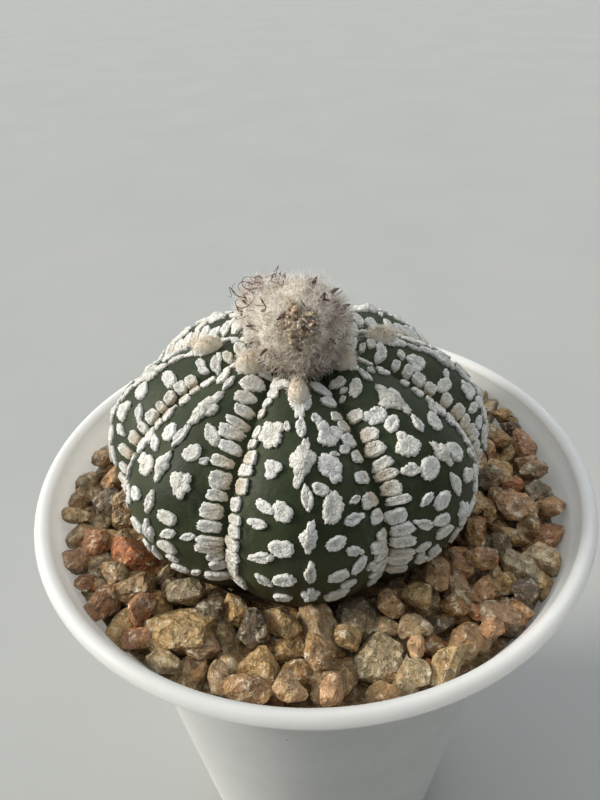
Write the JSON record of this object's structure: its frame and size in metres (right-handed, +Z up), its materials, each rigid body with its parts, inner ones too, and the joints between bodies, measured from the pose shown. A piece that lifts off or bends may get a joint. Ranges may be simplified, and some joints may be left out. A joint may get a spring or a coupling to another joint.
{
  "type": "potted star cactus",
  "caption": "Eight-ribbed star cactus with raised white felt flecks and woolly buds, standing in granite grit in a tall white plastic pot with a flared, rolled rim.",
  "frame": {"origin": "middle of the pot's flat underside", "axes": "+Z up along the pot's axis, -Y towards the side that the larger bud faces, +X to the right seen from there"},
  "size_m": [0.09, 0.09, 0.1317],
  "materials": {
    "pot_plastic": "satin, slightly translucent, a little dusty",
    "soil": "matte, crumbly",
    "granite_grit": "rough, mixed tan, ochre and grey",
    "cactus_skin": "matte waxy",
    "felt_fleck": "rough felt",
    "bud_wool": "fine wool with dark scale tips",
    "scale_bristle": "dry, dark",
    "dried_petal": "dry and papery"
  },
  "bodies": {
    "root": {"pot": "pot_plastic", "potting_soil": "soil", "gravel_topping": "granite_grit", "cactus_body": "cactus_skin", "woolly_bud_front": "bud_wool", "woolly_bud_rear": "bud_wool", "dried_flower": "dried_petal"}
  },
  "joints": []
}
